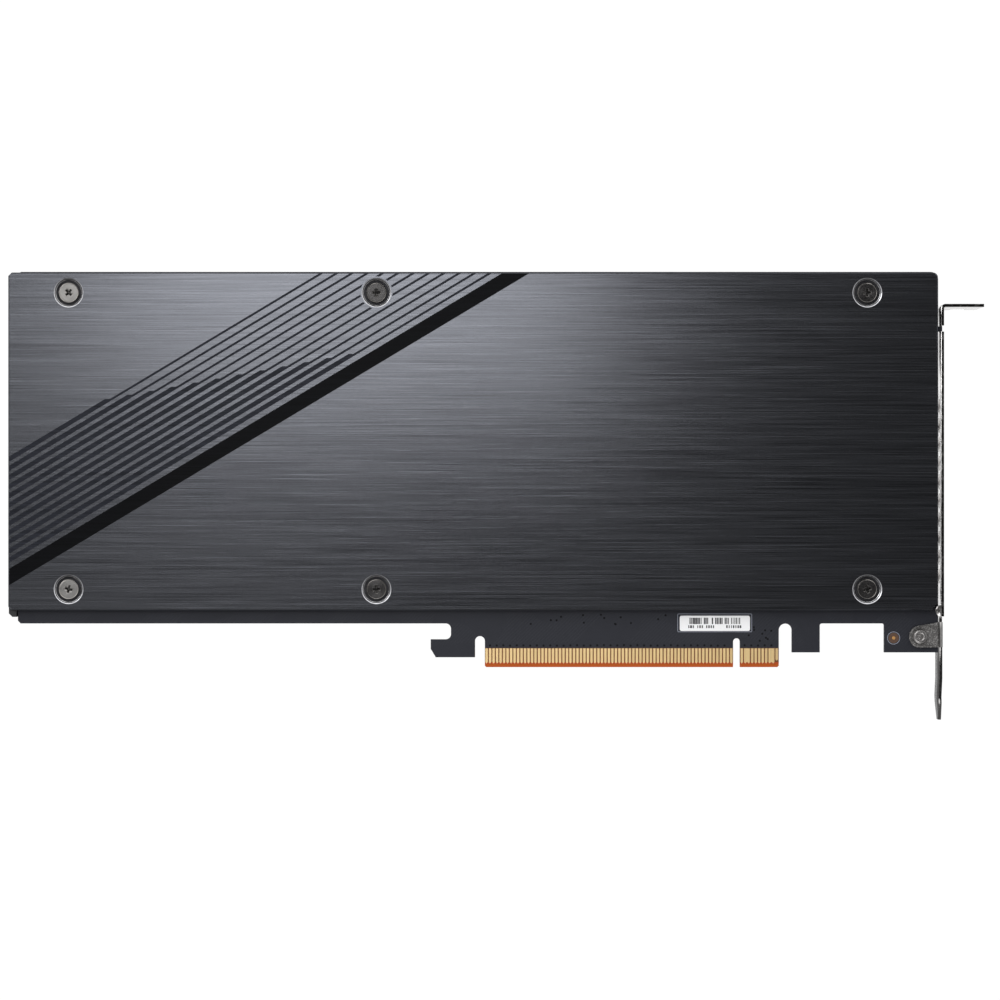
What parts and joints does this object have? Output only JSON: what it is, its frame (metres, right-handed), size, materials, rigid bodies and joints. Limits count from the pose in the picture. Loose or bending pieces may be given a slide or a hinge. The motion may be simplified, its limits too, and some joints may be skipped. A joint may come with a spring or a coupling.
{
  "type": "pcie flash storage card",
  "caption": "Full-length PCIe x16 flash storage card: dark brushed back plate with diagonal stripes, edge contacts, slot bracket, and a blower over plug-in drives under the front cover.",
  "frame": {"origin": "centre of the key notch at the bottom of the card edge, half-way through the board", "axes": "+X along the card to the bracket, +Y away from the slot, +Z out of the solder side"},
  "size_m": [0.2786, 0.1284, 0.0186],
  "materials": {
    "board": "black solder mask over glass-epoxy laminate",
    "contact_gold": "gold plating, satin",
    "plate_aluminium": "dark anodised, brushed along the card",
    "plate_print": "black satin print",
    "screw_steel": "nickel-plated steel",
    "black_screw": "black oxide",
    "thermal_pad": "soft matt silicone",
    "cover_plastic": "black, finely grained",
    "heatsink_aluminium": "extruded and milled",
    "drive_laminate": "dark green solder mask",
    "chip_plastic": "moulded black epoxy",
    "socket_plastic": "black moulding",
    "standoff_brass": "turned",
    "fan_plastic": "black moulding",
    "magnet": "bonded ferrite",
    "steel": "ground",
    "bearing_bronze": "sintered bronze",
    "copper_wire": "enamelled copper",
    "inductor": "pressed iron powder",
    "capacitor_can": "plain can",
    "header_plastic": "natural nylon",
    "label_paper": "white label stock",
    "bracket_nickel": "nickel-plated sheet steel"
  },
  "bodies": {
    "card": {"circuit_board": "board", "rear_contacts": "contact_gold", "front_contacts": "contact_gold", "back_plate": "plate_aluminium", "stripe_print": "plate_print", "back_plate_screws": "screw_steel", "back_thermal_pads": "thermal_pad", "front_cover": "cover_plastic", "cover_screws": "black_screw", "heatsink": "heatsink_aluminium", "drive_thermal_pads": "thermal_pad", "drive_standoffs": "standoff_brass", "drive_screws": "screw_steel", "fan_housing": "fan_plastic", "fan_top_plate": "fan_plastic", "fan_bearing": "bearing_bronze", "fan_stator": "steel", "fan_windings": "copper_wire", "fan_board": "drive_laminate", "fan_screws": "screw_steel", "fan_header": "header_plastic", "power_inductors": "inductor", "board_capacitors": "capacitor_can", "board_chips": "chip_plastic", "serial_label": "label_paper", "bracket": "bracket_nickel", "bracket_rivet": "steel", "drive_board_1": "drive_laminate", "drive_controller_1": "chip_plastic", "drive_buffer_1": "chip_plastic", "drive_flash_1": "chip_plastic", "drive_socket_1": "socket_plastic", "drive_board_2": "drive_laminate", "drive_controller_2": "chip_plastic", "drive_buffer_2": "chip_plastic", "drive_flash_2": "chip_plastic", "drive_socket_2": "socket_plastic", "drive_board_3": "drive_laminate", "drive_controller_3": "chip_plastic", "drive_buffer_3": "chip_plastic", "drive_flash_3": "chip_plastic", "drive_socket_3": "socket_plastic", "drive_board_4": "drive_laminate", "drive_controller_4": "chip_plastic", "drive_buffer_4": "chip_plastic", "drive_flash_4": "chip_plastic", "drive_socket_4": "socket_plastic"},
    "fan_rotor": {"fan_impeller": "fan_plastic", "fan_magnet_ring": "magnet", "fan_shaft": "steel"}
  },
  "joints": [
    {"name": "fan_spin", "type": "hinge", "parent": "card", "child": "fan_rotor", "pos_m": [-0.15, 0.0647, -0.008], "axis": [0, 0, 1], "continuous": true}
  ]
}
